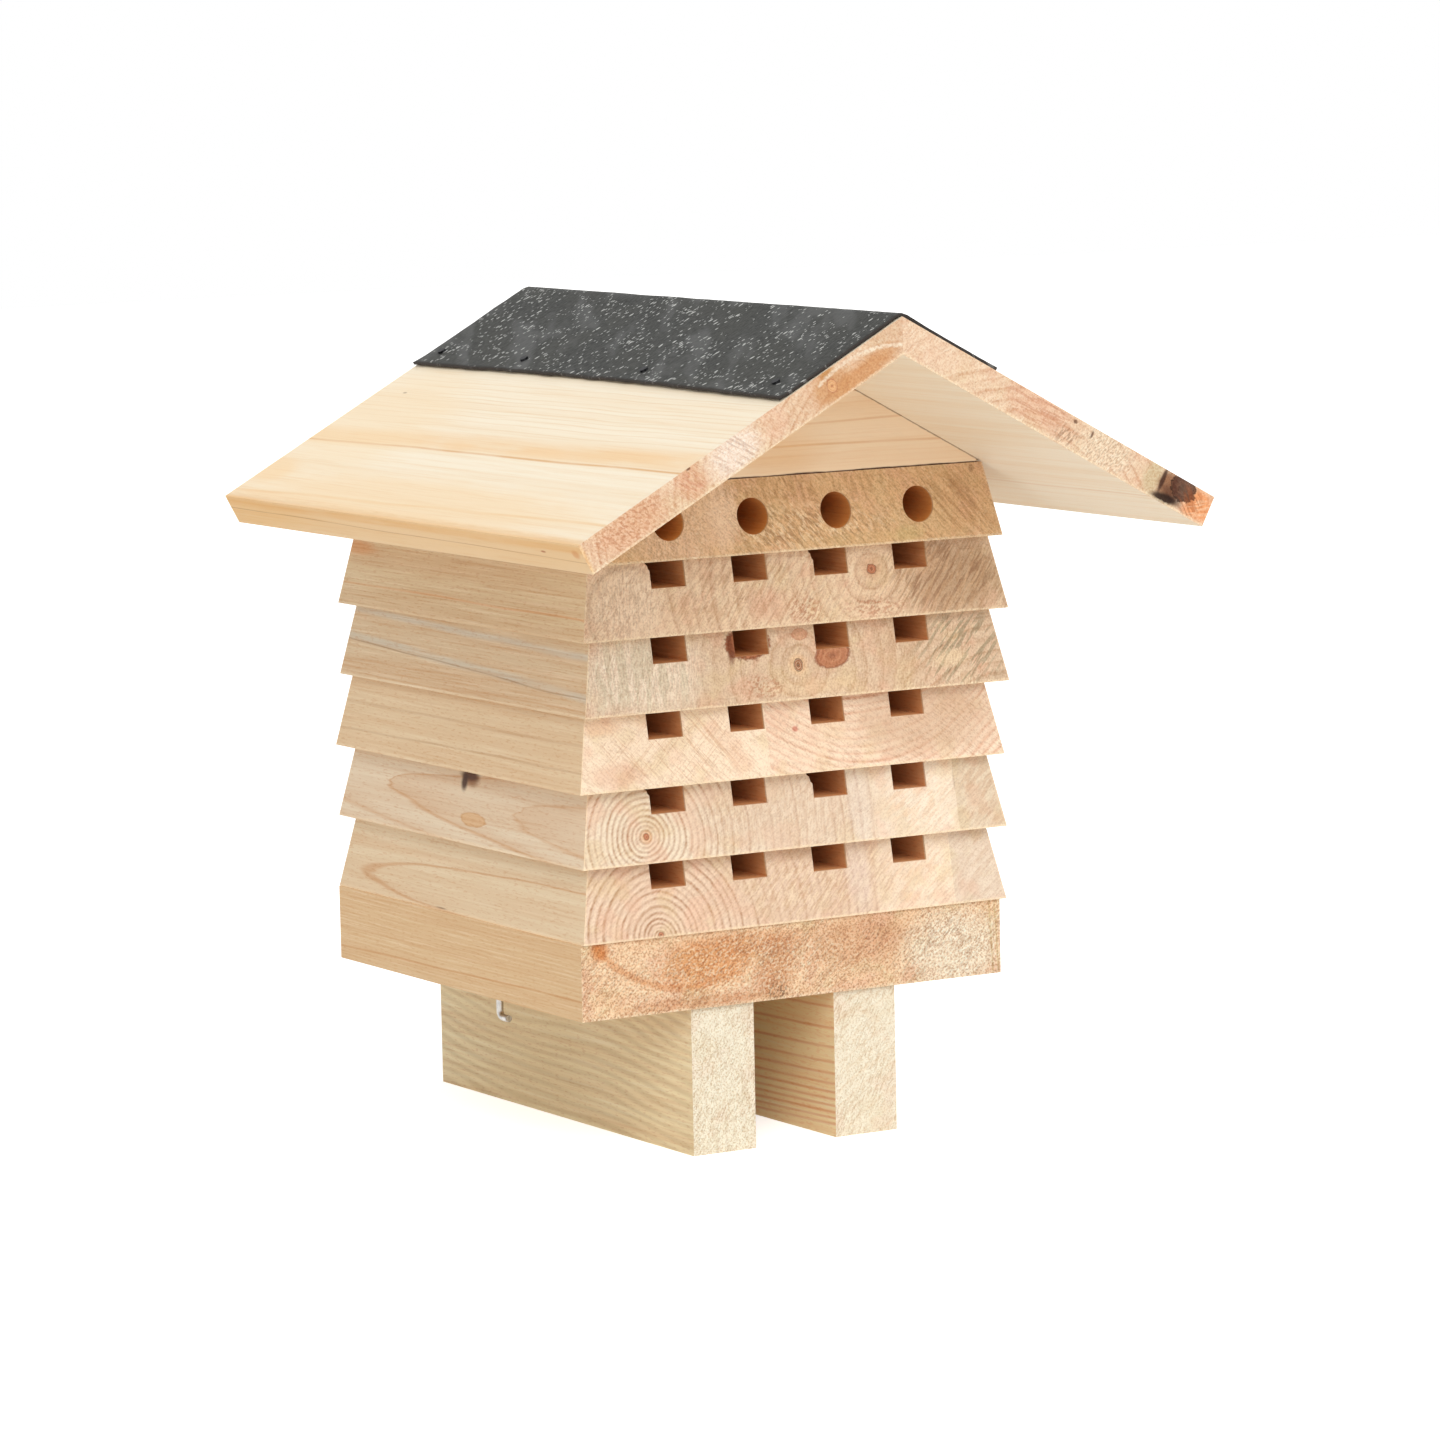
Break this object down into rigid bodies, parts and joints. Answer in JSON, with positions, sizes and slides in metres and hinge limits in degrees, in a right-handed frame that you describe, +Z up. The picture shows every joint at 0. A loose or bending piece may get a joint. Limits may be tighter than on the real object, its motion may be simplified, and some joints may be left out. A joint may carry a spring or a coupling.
{
  "type": "bee hotel",
  "caption": "Louvred wooden nest box for solitary bees: grooved trays and a drilled block stacked on a legged base under a felted pitched roof.",
  "frame": {"origin": "centre of the whole outline in plan, at the undersides of the legs", "axes": "+Z up, -Y to the front where the nest holes open, +X to the right seen from the front"},
  "size_m": [0.2002, 0.2058, 0.232],
  "materials": {
    "base_wood": "rough sawn, oiled end grain",
    "leg_wood": "planed, bare",
    "tray_wood": "planed faces, rough end grain",
    "block_wood": "planed faces, rough end grain",
    "gable_wood": "planed, bare",
    "roof_wood": "planed, bare",
    "roofing_felt": "black bitumen felt with pale mineral specks",
    "wire_steel": "galvanised wire",
    "nail_steel": "galvanised, dulled",
    "plated_steel": "zinc plated"
  },
  "bodies": {
    "base": {"base_block": "base_wood", "leg_left": "leg_wood", "leg_right": "leg_wood", "leg_screws": "plated_steel"},
    "pin_left": {"pin_left": "wire_steel"},
    "pin_right": {"pin_right": "wire_steel"},
    "tray_5": {"tray_5": "tray_wood"},
    "tray_4": {"tray_4": "tray_wood"},
    "tray_3": {"tray_3": "tray_wood"},
    "tray_2": {"tray_2": "tray_wood"},
    "tray_1": {"tray_1": "tray_wood"},
    "roof": {"drilled_block": "block_wood", "gable_front": "gable_wood", "gable_back": "gable_wood", "gable_screws": "plated_steel", "roof_left": "roof_wood", "roof_right": "roof_wood", "roof_nails": "plated_steel", "felt": "roofing_felt", "felt_nails_left": "nail_steel", "felt_nails_right": "nail_steel"}
  },
  "joints": [
    {"name": "lift_tray_5", "type": "slide", "parent": "base", "child": "tray_5", "axis": [0, 0, 1], "range_m": [0, 0.04]},
    {"name": "lift_tray_4", "type": "slide", "parent": "tray_5", "child": "tray_4", "axis": [0, 0, 1], "range_m": [0, 0.04]},
    {"name": "lift_tray_3", "type": "slide", "parent": "tray_4", "child": "tray_3", "axis": [0, 0, 1], "range_m": [0, 0.04]},
    {"name": "lift_tray_2", "type": "slide", "parent": "tray_3", "child": "tray_2", "axis": [0, 0, 1], "range_m": [0, 0.04]},
    {"name": "lift_tray_1", "type": "slide", "parent": "tray_2", "child": "tray_1", "axis": [0, 0, 1], "range_m": [0, 0.04]},
    {"name": "lift_roof", "type": "slide", "parent": "tray_1", "child": "roof", "axis": [0, 0, 1], "range_m": [0, 0.04]},
    {"name": "pull_pin_left", "type": "slide", "parent": "base", "child": "pin_left", "axis": [0, 0, -1], "range_m": [0, 0.1145]},
    {"name": "pull_pin_right", "type": "slide", "parent": "base", "child": "pin_right", "axis": [0, 0, -1], "range_m": [0, 0.1145]}
  ]
}
